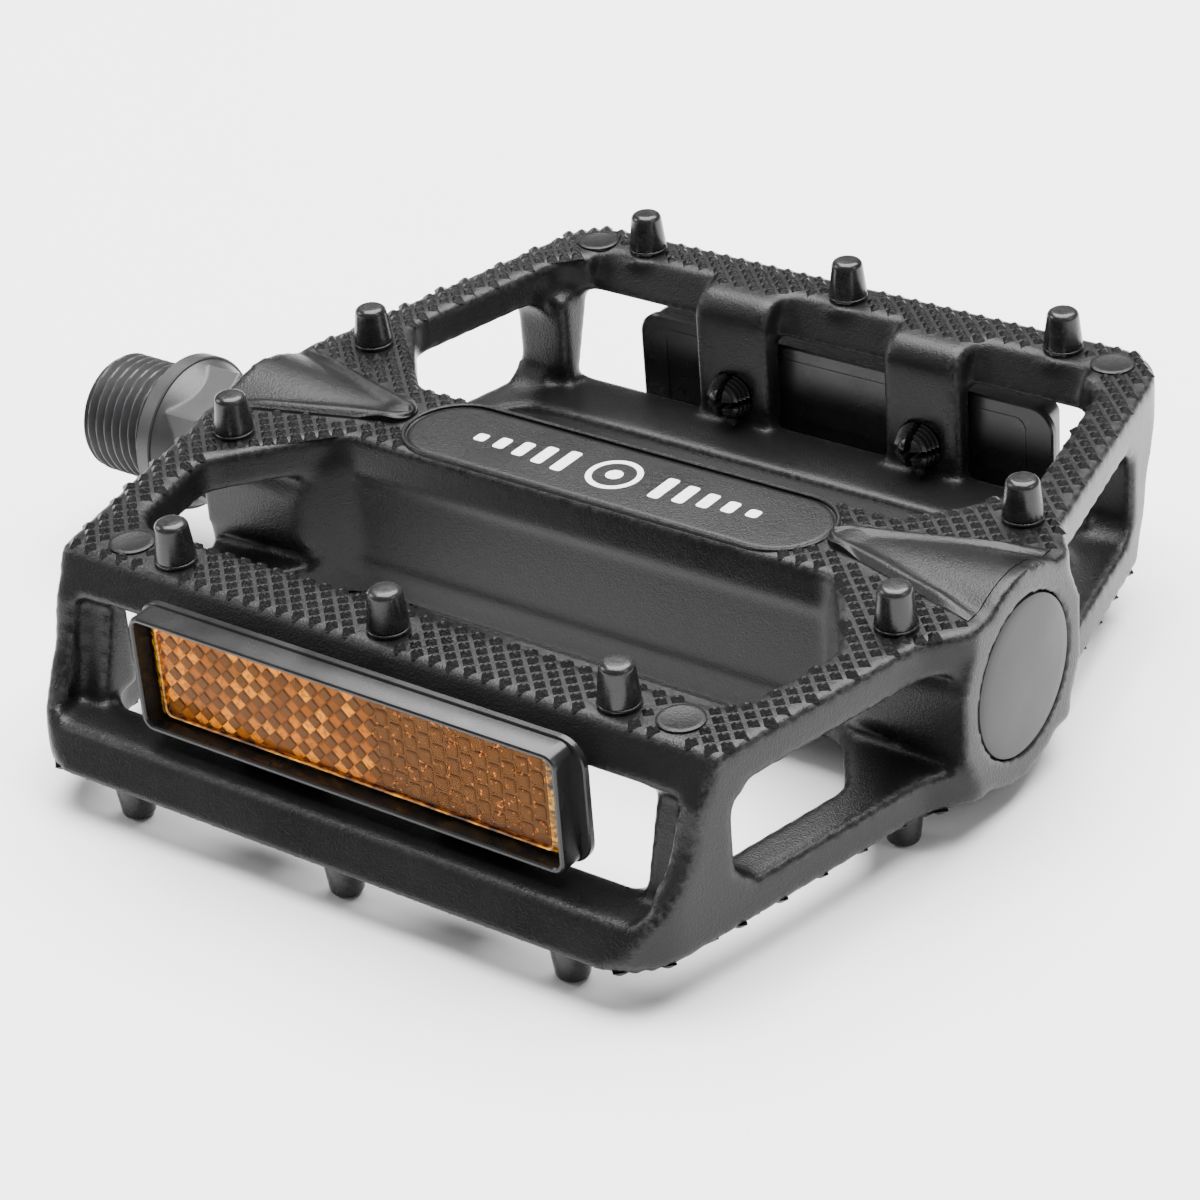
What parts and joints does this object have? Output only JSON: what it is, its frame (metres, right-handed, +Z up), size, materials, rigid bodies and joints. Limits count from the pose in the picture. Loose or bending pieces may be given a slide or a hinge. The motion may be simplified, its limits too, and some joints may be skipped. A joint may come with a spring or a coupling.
{
  "type": "flat pedal",
  "caption": "Flat platform pedal: cast openwork frame on a threaded spindle with ball bearings, traction pins on both faces and amber reflectors front and back.",
  "frame": {"origin": "on the spindle axis, at the shoulder that seats against the crank", "axes": "+X along the spindle from the crank to the outboard end, +Z up out of the top face, -Y towards the front reflector"},
  "size_m": [0.1256, 0.1052, 0.0304],
  "materials": {
    "cast_body": "satin black paint over a cast surface",
    "spindle_steel": "black oxide",
    "bearing_steel": "ground",
    "seal_rubber": "matt",
    "cap_plastic": "fine satin",
    "pin_paint": "gloss black",
    "housing_plastic": "moulded black",
    "amber_lens": "clear amber over prisms"
  },
  "bodies": {
    "platform": {"body": "cast_body", "inboard_seal": "seal_rubber", "inboard_cup": "bearing_steel", "outboard_cup": "bearing_steel", "dust_cap": "cap_plastic", "pins_top_front": "pin_paint", "pins_top_back": "pin_paint", "pins_top_inboard": "pin_paint", "pins_top_outboard": "pin_paint", "pins_bottom_front": "pin_paint", "pins_bottom_back": "pin_paint", "pins_bottom_inboard": "pin_paint", "pins_bottom_outboard": "pin_paint", "front_reflector_housing": "housing_plastic", "front_reflector_lens": "amber_lens", "back_reflector_housing": "housing_plastic", "back_reflector_lens": "amber_lens"},
    "spindle": {"spindle": "spindle_steel", "adjusting_cone": "bearing_steel", "keyed_washer": "bearing_steel", "locknut": "bearing_steel"},
    "inboard_ball_set": {"inboard_balls": "bearing_steel"},
    "outboard_ball_set": {"outboard_balls": "bearing_steel"}
  },
  "joints": [
    {"name": "spindle_spin", "type": "hinge", "parent": "platform", "child": "spindle", "pos_m": [0.0631, 0, 0], "axis": [1, 0, 0], "continuous": true},
    {"name": "inboard_ball_orbit", "type": "hinge", "parent": "platform", "child": "inboard_ball_set", "pos_m": [0.0221, 0, 0], "axis": [1, 0, 0], "continuous": true},
    {"name": "outboard_ball_orbit", "type": "hinge", "parent": "platform", "child": "outboard_ball_set", "pos_m": [0.1041, 0, 0], "axis": [1, 0, 0], "continuous": true}
  ],
  "couplings": [
    {"joint": "inboard_ball_orbit", "follows": "spindle_spin", "ratio": 0.415},
    {"joint": "outboard_ball_orbit", "follows": "spindle_spin", "ratio": 0.4022}
  ]
}
